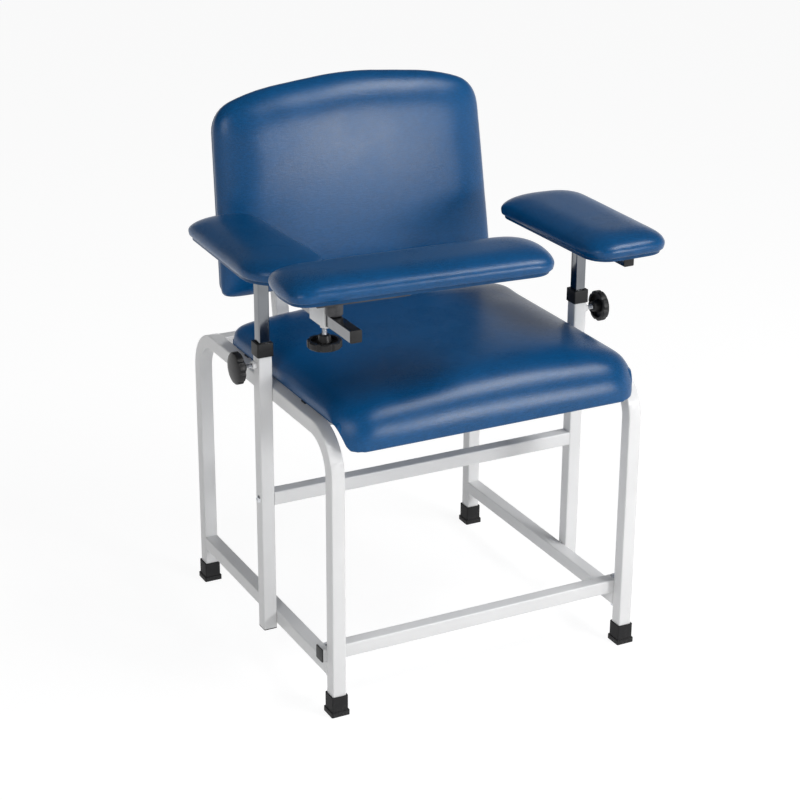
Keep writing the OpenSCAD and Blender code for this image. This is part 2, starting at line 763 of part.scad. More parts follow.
module lower_crossbar_plugs() color([0.12, 0.12, 0.13]) placed() {
    for (side = [left, right]) translate([side * lower_bar_l / 2, -lower_bar_y, lower_bar_z])
        rotate([0, -side * 90, 0]) tube_plug(tube, tube_wall, tube_edge);
}

module lower_crossbar_bolts() color("silver") placed() {
    for (side = [left, right]) translate([side * leg_x, -lower_bar_y, lower_bar_z + tube / 2 + washer_t])
        dome_bolt(washer_t + 2 * tube + nut_h);
}

module lower_crossbar_washers() color("silver") placed() {
    for (side = [left, right]) translate([side * leg_x, -lower_bar_y, lower_bar_z + tube / 2]) difference() {
        cylinder(r = washer_r, h = washer_t);
        hole(bolt_r, washer_t);
    }
}

module lower_crossbar_nuts() color("silver") placed() {
    for (side = [left, right]) translate([side * leg_x, -lower_bar_y, lower_rail_h - nut_h]) hex_nut();
}

module front_left_foot() color([0.15, 0.15, 0.15]) placed() rubber_foot(left, -1);
module front_right_foot() color([0.15, 0.15, 0.15]) placed() rubber_foot(right, -1);
module rear_left_foot() color([0.15, 0.15, 0.15]) placed() rubber_foot(left, 1);
module rear_right_foot() color([0.15, 0.15, 0.15]) placed() rubber_foot(right, 1);

module front_seat_bearer() color("whitesmoke") placed() {
    seat_bearer(-front_bearer_y, bearer_z, [-seat_screw_x, seat_screw_x]);
}

module rear_seat_bearer() color("whitesmoke") placed() {
    seat_bearer(rear_bearer_y, bearer_z, [-seat_screw_x, seat_screw_x]);
}

module seat_board() color("burlywood") placed() {
    difference() {
        translate([-seat_board_w / 2, seat_board_front, seat_base])
            cube([seat_board_w, seat_board_l, seat_board_t]);
        for (x = [-1, 1], y = [-front_bearer_y, rear_bearer_y]) {
            translate([x * seat_screw_x, y, seat_base]) blind_hole();
        }
    }
}

module seat_buffers() color([0.12, 0.12, 0.13]) placed() {
    for (side = [left, right], y = [-front_buffer_y, rear_buffer_y]) {
        translate([side * (seat_board_w / 2 - seat_board_lap / 2), y, rail_h + bearer_rise / 2])
            cube([seat_board_lap, buffer_l, bearer_rise], center = true);
    }
}

module seat_and_back_screws() color("silver") placed() {
    for (x = [-1, 1], y = [-front_bearer_y, rear_bearer_y]) {
        translate([x * seat_screw_x, y, bearer_z - tube / 2]) wood_screw(tube + screw_bite);
    }
    in_back() for (side = [left, right], s = back_screw_up_shares) {
        translate([side * upright_x, back_half_t + tube, s * upright_up]) rotate([90, 0, 0])
            wood_screw(tube + screw_bite);
    }
}

module seat_cushion() color([0.06, 0.22, 0.45]) placed() {
    translate([0, seat_mid_y, seat_base + seat_board_t]) skin(concat(
        [for (s = seat_under_shares) seat_ring(s * lip_d, 0)],
        [for (s = seat_profile_shares) seat_ring(s[0] * seat_soft, s[1])],
        [for (s = seat_crown_shares) seat_ring(s * seat_half.y, 1)]));
}

module back_bearer() color("whitesmoke") placed() seat_bearer(back_bearer_y, back_bearer_z, []);
module left_back_upright() color("whitesmoke") placed() back_upright(left);
module right_back_upright() color("whitesmoke") placed() back_upright(right);

module upright_plugs() color([0.12, 0.12, 0.13]) placed() in_back() {
    for (side = [left, right]) translate([side * upright_x, upright_y, upright_up]) mirror([0, 0, 1])
        tube_plug(tube, tube_wall, tube_edge);
}

module back_board() color("burlywood") placed() in_back() {
    difference() {
        translate([0, back_half_t, back_h / 2]) rotate([90, 0, 0]) linear_extrude(back_board_t)
            polygon([for (p = drawn_in([for (q = back_outline) q - [0, back_h / 2]], back_half, back_board_inset)) p]);
        for (side = [left, right], s = back_screw_up_shares) {
            translate([side * upright_x, back_half_t, s * upright_up]) rotate([90, 0, 0]) blind_hole();
        }
    }
}

module back_cushion() color([0.06, 0.22, 0.45]) placed() in_back() {
    edge_t = back_t - back_crown;
    translate([0, back_half_t - back_board_t, 0]) rotate([90, 0, 0]) skin(concat(
        [for (s = back_profile_shares) back_ring(s[0] * back_soft, s[1] * edge_t)],
        [for (s = back_crown_shares) back_ring(s * back_half.y, edge_t + back_crown * (1 - pow(1 - s, 2)))]));
}

module left_mast() color("gainsboro") placed() mast(left, left_arm_h);
module left_arm_tube() color("gainsboro") placed() arm_tube_piece(left, left_arm_h, left_arm_front, left_screws);
module left_tube_plugs() color([0.12, 0.12, 0.13]) placed() arm_plugs(left, left_arm_h, left_arm_front);

// Middle of each side pad in plan
left_pad_place = [left * (post_x - left_pad_in), -post_y - left_pad_front + left_pad_l / 2];
right_pad_place = [right * (post_x - right_pad_in), -post_y - right_pad_front + right_pad_l / 2];

module left_pad_board() color([0.04, 0.16, 0.34]) placed() translate([left_pad_place.x, left_pad_place.y, left_tube_top]) {
    pad_board(left_pad_outline, left_pad_half, [for (y = left_screws) [left * post_x, y] - left_pad_place]);
}

module left_pad_screws() color("silver") placed() {
    for (y = left_screws) translate([left * post_x, y, left_arm_h]) wood_screw(arm_tube + screw_bite);
}

module left_pad() color([0.06, 0.22, 0.45]) placed() {
    translate([left_pad_place.x, left_pad_place.y, left_tube_top + pad_board_t]) pad_form(left_pad_outline, left_pad_half);
}

module right_mast() color("gainsboro") placed() mast(right, right_arm_h);
module right_arm_tube() color("gainsboro") placed() arm_tube_piece(right, right_arm_h, right_arm_front, right_screws);
module right_tube_plugs() color([0.12, 0.12, 0.13]) placed() arm_plugs(right, right_arm_h, right_arm_front);

module right_pad_board() color([0.04, 0.16, 0.34]) placed() translate([right_pad_place.x, right_pad_place.y, right_tube_top]) {
    pad_board(right_pad_outline, right_pad_half, [for (y = right_screws) [right * post_x, y] - right_pad_place]);
}

module right_pad_screws() color("silver") placed() {
    for (y = right_screws) translate([right * post_x, y, right_arm_h]) wood_screw(arm_tube + screw_bite);
}

module right_pad() color([0.06, 0.22, 0.45]) placed() {
    translate([right_pad_place.x, right_pad_place.y, right_tube_top + pad_board_t])
        pad_form(right_pad_outline, right_pad_half);
}

// Sleeve round the arm tube with a box above it that carries the pivot housing
module carriage_sleeve() color("whitesmoke") placed() {
    cavity = arm_tube + 2 * slide_gap;
    difference() {
        translate([left * post_x - sleeve_w / 2, sleeve_front, sleeve_low])
            cube([sleeve_w, sleeve_l, housing_top - sleeve_low]);
        translate([left * post_x - cavity / 2, sleeve_front - over, left_arm_h - slide_gap])
            cube([cavity, sleeve_l + 2 * over, cavity]);
        translate([left * post_x - cavity / 2, sleeve_front - over, housing_low + sleeve_wall])
            cube([cavity, sleeve_l + 2 * over, housing_h - 2 * sleeve_wall]);
        translate([left * post_x, pivot_y, housing_low]) cylinder(r = housing_r, h = housing_h + over);
        translate([left * post_x, front_clamp_y, sleeve_low]) hole(bolt_r, sleeve_wall);
    }
}

module carriage_nut() color("whitesmoke") placed() at_front_clamp() translate([0, 0, front_wall_out]) hex_nut();

module pivot_housing() color([0.25, 0.25, 0.26]) placed() translate([left * post_x, pivot_y, housing_low]) difference() {
    cylinder(r = housing_r, h = housing_h);
    translate([0, 0, -over]) cylinder(r = pivot_r + hole_gap, h = housing_h + 2 * over);
}

module front_arm_plate() color("whitesmoke") placed() in_front_arm() difference() {
    translate([-plate_past, -plate_w / 2, -plate_t]) cube([plate_past + plate_l, plate_w, plate_t]);
    for (s = plate_screw_shares) translate([s * plate_l, 0, -plate_t]) hole(screw_r, plate_t);
}

module pivot_pin() color("silver") placed() {
    translate([left * post_x, pivot_y, housing_low + skim_gap]) cylinder(r = pivot_r, h = housing_h);
}

module front_pad_board() color([0.04, 0.16, 0.34]) placed() in_front_arm() translate([front_pad_mid.x, front_pad_mid.y, 0]) {
    pad_board(front_pad_outline, front_pad_half, [for (s = plate_screw_shares) [s * plate_l, 0] - front_pad_mid]);
}

module front_pad_screws() color("silver") placed() in_front_arm() {
    for (s = plate_screw_shares) translate([s * plate_l, 0, -plate_t]) wood_screw(plate_t + screw_bite);
}

module front_pad() color([0.06, 0.22, 0.45]) placed() in_front_arm() {
    translate([front_pad_mid.x, front_pad_mid.y, pad_board_t]) skin([for (s = pad_profile_shares)
        [for (p = drawn_in(front_pad_outline, front_pad_half, s[0] * front_pad_half.y)) [p.x, p.y, s[1] * pad_h]]]);
}

module left_knob() color([0.12, 0.12, 0.13]) placed() at_side_clamp(left) translate([0, 0, side_hub]) star_knob();
module left_knob_stud() color("silver") placed() at_side_clamp(left) stud(side_hub + knob_bore);
module right_knob() color([0.12, 0.12, 0.13]) placed() at_side_clamp(right) translate([0, 0, side_hub]) star_knob();
module right_knob_stud() color("silver") placed() at_side_clamp(right) stud(side_hub + knob_bore);
module front_knob() color([0.12, 0.12, 0.13]) placed() at_front_clamp() translate([0, 0, front_hub]) star_knob();
module front_knob_stud() color("silver") placed() at_front_clamp() stud(front_hub + knob_bore);

left_side_frame();
right_side_frame();
left_lower_rail();
right_lower_rail();
left_arm_post();
right_arm_post();
left_post_collar();
right_post_collar();
post_end_plugs();
post_weld_nuts();
upper_crossbar();
crossbar_nut_blocks();
upper_crossbar_bolts();
lower_crossbar();
lower_crossbar_plugs();
lower_crossbar_bolts();
lower_crossbar_washers();
lower_crossbar_nuts();
front_left_foot();
front_right_foot();
rear_left_foot();
rear_right_foot();
front_seat_bearer();
rear_seat_bearer();
seat_board();
seat_buffers();
seat_and_back_screws();
seat_cushion();
back_bearer();
left_back_upright();
right_back_upright();
upright_plugs();
back_board();
back_cushion();
left_mast();
left_arm_tube();
left_tube_plugs();
left_pad_board();
left_pad_screws();
left_pad();
right_mast();
right_arm_tube();
right_tube_plugs();
right_pad_board();
right_pad_screws();
right_pad();
carriage_sleeve();
carriage_nut();
pivot_housing();
front_arm_plate();
pivot_pin();
front_pad_board();
front_pad_screws();
front_pad();
left_knob();
left_knob_stud();
right_knob();
right_knob_stud();
front_knob();
front_knob_stud();
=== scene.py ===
"""Blood-drawing chair: upholstery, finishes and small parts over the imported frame."""

import json
import math
from contextlib import contextmanager

import bmesh
import bpy
import numpy as np
from mathutils import Matrix, Vector
from mathutils.geometry import convex_hull_2d

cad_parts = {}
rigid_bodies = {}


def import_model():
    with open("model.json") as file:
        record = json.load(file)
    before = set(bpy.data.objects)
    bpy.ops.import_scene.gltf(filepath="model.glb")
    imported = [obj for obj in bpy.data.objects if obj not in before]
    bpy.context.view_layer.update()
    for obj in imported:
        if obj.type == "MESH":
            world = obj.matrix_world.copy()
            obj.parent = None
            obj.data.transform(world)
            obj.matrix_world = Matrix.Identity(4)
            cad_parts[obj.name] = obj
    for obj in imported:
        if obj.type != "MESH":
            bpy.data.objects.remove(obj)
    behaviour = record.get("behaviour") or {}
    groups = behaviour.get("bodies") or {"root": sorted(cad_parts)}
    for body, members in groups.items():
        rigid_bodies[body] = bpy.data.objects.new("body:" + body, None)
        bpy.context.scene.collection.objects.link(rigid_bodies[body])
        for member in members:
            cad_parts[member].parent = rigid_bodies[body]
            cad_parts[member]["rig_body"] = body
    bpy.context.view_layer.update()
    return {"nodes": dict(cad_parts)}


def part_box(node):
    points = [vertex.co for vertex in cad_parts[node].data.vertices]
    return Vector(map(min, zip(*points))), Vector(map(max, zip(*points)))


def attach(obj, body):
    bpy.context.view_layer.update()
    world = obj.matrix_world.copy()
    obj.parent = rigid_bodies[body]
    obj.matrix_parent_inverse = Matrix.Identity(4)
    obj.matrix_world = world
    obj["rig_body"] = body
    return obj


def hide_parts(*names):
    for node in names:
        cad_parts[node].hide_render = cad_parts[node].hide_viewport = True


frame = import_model()
nodes = frame["nodes"]
scene = bpy.context.scene
MM = 0.001


# Shader nodes


def wired(tree, kind, inputs, **settings):
    """A new node in a tree. Each input is given a value or the output socket that feeds it."""
    node = tree.nodes.new(kind)
    for key, value in settings.items():
        setattr(node, key, value)
    for key, value in inputs.items():
        if isinstance(value, bpy.types.NodeSocket):
            tree.links.new(value, node.inputs[key])
        else:
            node.inputs[key].default_value = value
    return node


class Strand:
    """One value, colour or vector inside a finish. Sums and products of it add their own nodes."""

    def __init__(self, finish, socket):
        self.finish = finish
        self.socket = socket

    def calc(self, operation, first, second):
        return self.finish.add("ShaderNodeMath", {0: first, 1: second}, operation=operation)

    def __add__(self, other):
        return self.calc("ADD", self, other)

    def __radd__(self, other):
        return self.calc("ADD", other, self)

    def __rsub__(self, other):
        return self.calc("SUBTRACT", other, self)

    def __mul__(self, other):
        return self.calc("MULTIPLY", self, other)

    def __rmul__(self, other):
        return self.calc("MULTIPLY", other, self)

    def between(self, low, high):
        """0 at low and below, 1 at high and above, smooth between."""
        return self.finish.add("ShaderNodeMapRange", {"Value": self, "From Min": low, "From Max": high},
                               interpolation_type="SMOOTHSTEP")


class Finish:
    """A material made of nodes, with short words for the patterns that the chair's surfaces need."""

    def __init__(self, name, **fixed):
        self.material = bpy.data.materials.new(name)
        self.material.use_nodes = True
        self.tree = self.material.node_tree
        self.shader = next(n for n in self.tree.nodes if n.type == "BSDF_PRINCIPLED")
        self.place = self.add("ShaderNodeTexCoord", {}, output="Object")
        for socket, value in fixed.items():
            self.shader.inputs[socket.replace("_", " ")].default_value = value

    def add(self, kind, inputs, output=0, **settings):
        inputs = {key: value.socket if isinstance(value, Strand) else value
                  for key, value in inputs.items()}
        return Strand(self, wired(self.tree, kind, inputs, **settings).outputs[output])

    def noise(self, scale, detail, roughness=0.5, at=None):
        return self.add("ShaderNodeTexNoise", {
            "Vector": at or self.place, "Scale": scale, "Detail": detail, "Roughness": roughness})

    def stretched(self, by):
        """The place, scaled by another factor along each axis, for brushed and drawn marks."""
        return self.add("ShaderNodeMapping", {"Vector": self.place, "Scale": by})

    def wandering(self, amount, scale):
        """The place, pushed about a little, so that cells lose their straight sides."""
        push = self.add("ShaderNodeTexNoise", {"Vector": self.place, "Scale": scale}, output="Color")
        return self.add("ShaderNodeVectorMath", {0: push, 1: (amount, amount, amount), 2: self.place},
                        operation="MULTIPLY_ADD")

    def cells(self, scale, at=None):
        """Distance to the nearest edge between cells: 0 in the furrows, more on the pebbles."""
        return self.add("ShaderNodeTexVoronoi", {"Vector": at or self.place, "Scale": scale},
                        feature="DISTANCE_TO_EDGE")

    def tint(self, mask, first, second):
        return self.add("ShaderNodeMix", {0: mask, 6: first, 7: second}, output=2, data_type="RGBA")

    def relief(self, height, distance, strength, over=None):
        inputs = {"Height": height, "Distance": distance, "Strength": strength}
        if over:
            inputs["Normal"] = over
        return self.add("ShaderNodeBump", inputs)

    def feed(self, **sockets):
        for name, value in sockets.items():
            self.tree.links.new(value.socket, self.shader.inputs[name.replace("_", " ")])
        return self.material


def shade(tone, share=1.0):
    """A colour for a socket: the tone, made darker or lighter."""
    return (*(c * share for c in tone), 1.0)


# Finishes

# Scales are in patterns to the metre, distances of a relief in metres


def vinyl(name, tone, sheen):
    """Upholstery vinyl: fine pebbled grain, slow mottling and a soft satin face."""
    f = Finish(name, IOR=1.46, Specular_IOR_Level=sheen)
    pebbles = f.cells(780, f.wandering(amount=0.0007, scale=420)).between(0.0, 0.32)
    fine = f.noise(2400, detail=1)
    slub = f.noise(110, detail=3, roughness=0.6, at=f.stretched((1.0, 4.0, 4.0)))
    cloud = f.noise(7, detail=4, roughness=0.6).between(0.3, 0.7)
    face = f.tint(cloud, shade(tone, 0.84), shade(tone, 1.12))
    # The furrows between the pebbles are made darker: painted shade in the grain.
    face = f.tint(pebbles * 0.35 + 0.65, shade(tone, 0.6), face)
    face = f.tint(slub.between(0.35, 0.7) * 0.36, face, shade(tone, 1.6))
    grain = f.relief(pebbles * 0.75 + fine * 0.25, distance=0.00012, strength=0.24)
    weave = f.relief(slub, distance=0.0006, strength=0.3, over=grain)
    return f.feed(Base_Color=face, Roughness=0.25 + 0.05 * cloud + 0.06 * (1 - pebbles), Normal=weave)


def powder_coat(name, tone):
    """Baked powder coat: faint orange peel, a trace of dust in the colour."""
    f = Finish(name, IOR=1.5, Coat_Weight=0.15, Coat_Roughness=0.12)
    peel = f.noise(420, detail=2, roughness=0.45)
    ripple = f.noise(95, detail=2)
    cloud = f.noise(11, detail=3).between(0.3, 0.72)
    dust = f.noise(1500, detail=1).between(0.66, 0.8)
    face = f.tint(cloud, shade(tone, 0.965), shade(tone))
    face = f.tint(dust * 0.12, face, shade(tone, 0.72))
    waves = f.relief(ripple, distance=0.0005, strength=0.1)
    skin = f.relief(peel, distance=0.00018, strength=0.22, over=waves)
    return f.feed(Base_Color=face, Roughness=0.3 + 0.1 * peel + 0.05 * cloud, Normal=skin)


def plating(name, tone, polish, brush):
    """Bright plated tube: fine drawn lines along its length, faint haze from handling."""
    f = Finish(name, Metallic=1.0)
    drawn = f.noise(60, detail=3, roughness=0.6, at=f.stretched(brush))
    haze = f.noise(24, detail=4, roughness=0.62).between(0.42, 0.75)
    face = f.tint(haze, shade(tone), shade(tone, 0.9))
    return f.feed(Base_Color=face, Roughness=polish + 0.05 * haze + 0.035 * drawn,
                  Normal=f.relief(drawn, distance=0.00004, strength=0.12))


def zinc(name):
    """Zinc-plated fasteners: cool grey crystals, with a slow cloud in colour and roughness."""
    f = Finish(name, Metallic=1.0)
    flake = f.add("ShaderNodeTexVoronoi", {"Vector": f.place, "Scale": 900}, output="Distance")
    cloud = f.noise(160, detail=3).between(0.3, 0.7)
    face = f.tint(cloud, shade((0.56, 0.58, 0.61)), shade((0.72, 0.73, 0.75)))
    return f.feed(Base_Color=face, Roughness=0.22 + 0.14 * cloud,
                  Normal=f.relief(flake, distance=0.00005, strength=0.2))


def moulded(name, tone, polish, pit):
    """Moulded plastic: spark-eroded texture with faint flow marks."""
    f = Finish(name, IOR=1.5, Specular_IOR_Level=0.32)
    spark = f.cells(1300).between(0.0, 0.4)
    flow = f.noise(30, detail=3, roughness=0.6, at=f.stretched((1.0, 1.0, 4.0))).between(0.3, 0.75)
    face = f.tint(flow, shade(tone), shade(tone, 1.6))
    return f.feed(Base_Color=face, Roughness=polish + 0.08 * flow + 0.05 * (1 - spark),
                  Normal=f.relief(spark, distance=0.00007, strength=pit))


def rubber(name):
    """Foot rubber: matt, slightly dusty, with a rough floor edge."""
    f = Finish(name, IOR=1.45, Specular_IOR_Level=0.3)
    dust = f.noise(120, detail=4, roughness=0.65).between(0.5, 0.8)
    height = f.add("ShaderNodeSeparateXYZ", {0: f.place}, output="Z")
    scuff = (1 - height.between(0.0, 0.02)) * f.noise(300, detail=3).between(0.4, 0.7)
    face = f.tint(dust * 0.35 + scuff * 0.4, shade((0.014, 0.014, 0.015)), shade((0.075, 0.073, 0.071)))
    return f.feed(Base_Color=face, Roughness=0.62 + 0.18 * dust,
                  Normal=f.relief(f.noise(900, detail=3), distance=0.00012, strength=0.4))


BLUE = (0.0004, 0.067, 0.198)
BOARD_BLUE = [c * 0.8 for c in BLUE]
upholstery_vinyl = vinyl("upholstery_vinyl", BLUE, sheen=0.42)
board_cover = vinyl("board_cover", BOARD_BLUE, sheen=0.3)
frame_coat = powder_coat("frame_coat", (0.81, 0.81, 0.81))
mast_chrome = plating("mast_chrome", (0.20, 0.21, 0.225), polish=0.07, brush=(9.0, 9.0, 0.6))
arm_chrome = plating("arm_chrome", (0.23, 0.235, 0.245), polish=0.09, brush=(9.0, 0.6, 9.0))
zinc_steel = zinc("zinc_steel")
# Dark grey for the pivot housing; on the front arm plate the same tone is painted shadow under the
# front pad.
housing_and_shadow_coat = moulded("housing_and_shadow_coat", (0.052, 0.052, 0.055), polish=0.34, pit=0.12)
knob_plastic = moulded("knob_plastic", (0.009, 0.009, 0.0095), polish=0.33, pit=0.25)
plug_plastic = moulded("plug_plastic", (0.010, 0.010, 0.0105), polish=0.4, pit=0.3)
foot_rubber = rubber("foot_rubber")


# Shaping helpers

CAD_WELD = 0.000002
THREAD_WELD = 0.00001
FLAT = math.radians(0.8)
SHARP = math.radians(30)


def pick(piece):
    """Selects this object and nothing else."""
    bpy.ops.object.select_all(action="DESELECT")
    piece.select_set(True)
    bpy.context.view_layer.objects.active = piece


@contextmanager
def editing(piece):
    """Edit mode on the whole mesh of a piece."""
    pick(piece)
    bpy.ops.object.mode_set(mode="EDIT")
    bpy.ops.mesh.select_all(action="SELECT")
    yield
    bpy.ops.object.mode_set(mode="OBJECT")


def primitive(add, **settings):
    """A new plain shape, alone in the selection."""
    bpy.ops.object.select_all(action="DESELECT")
    add(**settings)
    return bpy.context.object


def applied(piece, kind, **settings):
    """Adds a modifier with these settings and makes it part of the mesh."""
    modifier = piece.modifiers.new(kind, kind)
    for key, value in settings.items():
        setattr(modifier, key, value)
    pick(piece)
    bpy.ops.object.modifier_apply(modifier=kind)
    return piece


def dress(piece, material, node):
    """Gives a piece its finish, and the body and place of the CAD node it stands for."""
    piece.data.materials.clear()
    piece.data.materials.append(material)
    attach(piece, nodes[node]["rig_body"])
    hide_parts(node)
    return piece


def own_copy(node, name):
    """A merged copy of a CAD node's mesh, without the split normals of its import."""
    piece = bpy.data.objects.new(name, nodes[node].data.copy())
    scene.collection.objects.link(piece)
    pick(piece)
    bpy.ops.mesh.customdata_custom_splitnormals_clear()
    with editing(piece):
        bpy.ops.mesh.remove_doubles(threshold=CAD_WELD)
    return piece


def smooth(piece, degrees=40):
    pick(piece)
    bpy.ops.object.shade_smooth_by_angle(angle=math.radians(degrees))
    return piece


def flattened(piece):
    """Makes the triangles of each flat face one face again."""
    with editing(piece):
        bpy.ops.mesh.dissolve_limited(angle_limit=FLAT)
    return piece


def eased(piece, width, segments):
    """Rounds the piece's sharp edges as a mould or a fold of cloth does."""
    return smooth(applied(flattened(piece), "BEVEL", width=width, segments=segments,
                          limit_method="ANGLE", angle_limit=SHARP))


def cut_from(piece, cutter):
    applied(piece, "BOOLEAN", operation="DIFFERENCE", solver="EXACT", object=cutter)
    bpy.data.objects.remove(cutter)


def towards(tip, out):
    """The turn and move that take +Z to the direction out, with zero at tip."""
    return Matrix.Translation(tip) @ Vector(out).to_track_quat("Z", "X").to_matrix().to_4x4()


# Upholstery

LEVEL = np.eye(3)
LEAN = math.radians(8.8)
LEANING = np.array((
    (1, 0, 0), (0, math.sin(LEAN), math.cos(LEAN)), (0, -math.cos(LEAN), math.sin(LEAN))))
BLOCK = 30 * MM
ARC = 1.2
TUCK_DEPTH = 12 * MM
TUCK_LEVEL = 0.6
FREE_LEVELS = 0.12, 0.45
HELD_LEVEL = 0.3
FORM_ROUNDS = 26
AIR_ROUNDS = 40
AIR_FRAMES = 20
AIR = {"vertex_group_mass": "on_board", "quality": 5, "mass": 0.25, "tension_stiffness": 18,
       "compression_stiffness": 18, "bending_stiffness": 2, "use_pressure": True,
       "uniform_pressure_force": 4}


def ramp(value, low, high):
    """0 at low and below, 1 at high and above, smooth between."""
    t = np.clip((value - low) / (high - low), 0, 1)
    return t * t * (3 - 2 * t)


def plan_sides(spots):
    """A cushion's outline in plan, its sides' outward directions and how far out each side lies."""
    ring = np.array([spots[i] for i in convex_hull_2d([Vector(s) for s in spots])])
    step = np.roll(ring, -1, axis=0) - ring
    long_enough = np.hypot(*step.T) > 1e-6
    out = np.stack((step[:, 1], -step[:, 0]), axis=1)[long_enough]
    out /= np.hypot(*out.T)[:, None]
    start = ring[long_enough]
    if ((start - ring.mean(axis=0)) * out).sum(axis=1).mean() < 0:
        out = -out
    return ring, out, (start * out).sum(axis=1)


def block(name, ring, face, voxel):
    """A plain block over the cushion's outline, in an even net of small faces."""
    piece = primitive(bpy.ops.mesh.primitive_circle_add, vertices=len(ring), fill_type="NGON")
    piece.name = name
    for v, (across, up) in zip(piece.data.vertices, ring):
        v.co = (across, up, face)
    with editing(piece):
        bpy.ops.mesh.extrude_region_move(TRANSFORM_OT_translate={"value": (0, 0, BLOCK)})
        bpy.ops.mesh.select_all(action="SELECT")
        bpy.ops.mesh.normals_make_consistent(inside=False)
    piece.data.remesh_voxel_size = voxel
    piece.data.use_remesh_preserve_volume = False
    bpy.ops.object.voxel_remesh()
    return piece


def read(mesh):
    spots = np.empty(len(mesh.vertices) * 3)
    mesh.vertices.foreach_get("co", spots)
    return spots.reshape(-1, 3)


def write(mesh, spots):
    mesh.vertices.foreach_set("co", np.ascontiguousarray(spots).ravel())
    mesh.update()


def settled(mesh, field, rounds, free):
    """Evens a value out over the net of the mesh, as stretched vinyl evens out a dent."""
    ends = np.empty(len(mesh.edges) * 2, dtype=np.int64)
    mesh.edges.foreach_get("vertices", ends)
    first, second = ends.reshape(-1, 2).T
    count = np.bincount(ends, minlength=len(field))[:, None]
    share = 0.5 * free[:, None]
    for _ in range(rounds):
        near = np.zeros_like(field)
        np.add.at(near, first, field[second])
        np.add.at(near, second, field[first])
        field = field + share * (near / count - field)
    return field


def swell(piece, level, free, cap):
    """Air under the vinyl, as cloth held at the board. Its push is capped and evened out."""
    before = read(piece.data)
    held = [int(i) for i in np.flatnonzero(level < HELD_LEVEL)]
    piece.vertex_groups.new(name="on_board").add(held, 1.0, "REPLACE")
    cloth = piece.modifiers.new("air", "CLOTH")
    for key, value in AIR.items():
        setattr(cloth.settings, key, value)
    cloth.settings.effector_weights.gravity = 0
    cloth.collision_settings.use_collision = False
    cloth.point_cache.frame_start, cloth.point_cache.frame_end = 1, AIR_FRAMES
    for moment in range(1, AIR_FRAMES + 1):
        scene.frame_set(moment)
    pick(piece)
    bpy.ops.object.modifier_apply(modifier="air")
    scene.frame_set(1)
    step = read(piece.data) - before
    length = np.linalg.norm(step, axis=1)
    step *= np.minimum(1.0, cap / np.maximum(length, 1e-9))[:, None]
    write(piece.data, before + settled(piece.data, step, AIR_ROUNDS, free))
    piece.vertex_groups.clear()


def upholster(node, name, axes, face, rolls, wall, top, under, tuck, voxel, cap):
    """Makes a cushion over the outline of its CAD solid.

    axes point across, up and out from the board, and face is how far out the board's face lies.
    The sides tuck in at the board and go over into a wide round roll and a crown. Air then swells
    the skin by up to cap, and the vinyl's pull evens the swelling out. rolls are the widths of the
    roll at the sides, at the front or foot, and at the rear or top. wall, top and under give the
    heights over the face of the roll's start, of the crown and of the underside.
    """
    solid = read(nodes[node].data) @ axes.T
    ring, out, reach = plan_sides(solid[:, :2])
    piece = block(name, ring, face, voxel)
    spots = read(piece.data)
    plan = spots[:, :2]
    level = np.clip((spots[:, 2] - face) / BLOCK, 0, 1)
    wide = rolls[0] * out[:, 0] ** 2 + np.where(out[:, 1] < 0, rolls[1], rolls[2]) * out[:, 1] ** 2
    inward = np.maximum(reach - plan @ out.T, 0)
    nearest = np.argmin(inward / wide, axis=1)
    depth = inward[np.arange(len(plan)), nearest]
    roll = wide[nearest]
    arc = ARC * roll
    turn = np.minimum(1, depth / arc) * math.pi / 2
    drawn = np.where(depth < arc, roll * (1 - np.cos(turn)) - depth,
                     (roll - arc) * (1 - ramp(depth, arc, 3 * arc)))
    drawn = drawn * level + tuck * (1 - ramp(level, 0.0, TUCK_LEVEL)) * (1 - ramp(depth, 0, TUCK_DEPTH))
    moved = plan - out[nearest] * drawn[:, None]
    across, up = moved.T
    low, edge, high = under(across, up, depth), wall(across, up), top(across, up)
    height = face + low + level * (edge + (high - edge) * np.sin(turn) - low)
    free = ramp(level, *FREE_LEVELS)
    spots = settled(piece.data, np.column_stack((moved, height)), FORM_ROUNDS, free)
    write(piece.data, spots @ axes)
    swell(piece, level, free, cap)
    applied(piece, "SUBSURF", levels=1, render_levels=1)
    bpy.ops.object.shade_smooth()
    return piece


def arm_pad(node):
    """A low domed pad. Its skin reaches a little way down round the covered board."""
    low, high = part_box(node)
    middle, half = (low + high) / 2, (high - low) / 2
    along_arm = half.y > half.x
    rolls = (44, 40, 40) if along_arm else (46, 42, 42)

    def wall(across, up):
        return 10.5 * MM

    def crown(across, up):
        share = (across - middle.x) / half.x if along_arm else (up - middle.y) / half.y
        return (28.5 + 2.5 * (1 - np.clip(share, -1, 1) ** 2)) * MM

    def skirt(across, up, depth):
        return -3.2 * MM * (1 - ramp(depth, 5 * MM, 7.5 * MM))

    cover = upholster(node, node + "_cover", LEVEL, low.z, [r * MM for r in rolls], wall, crown, skirt,
                      tuck=4 * MM, voxel=4.2 * MM, cap=1.2 * MM)
    dress(cover, upholstery_vinyl, node)


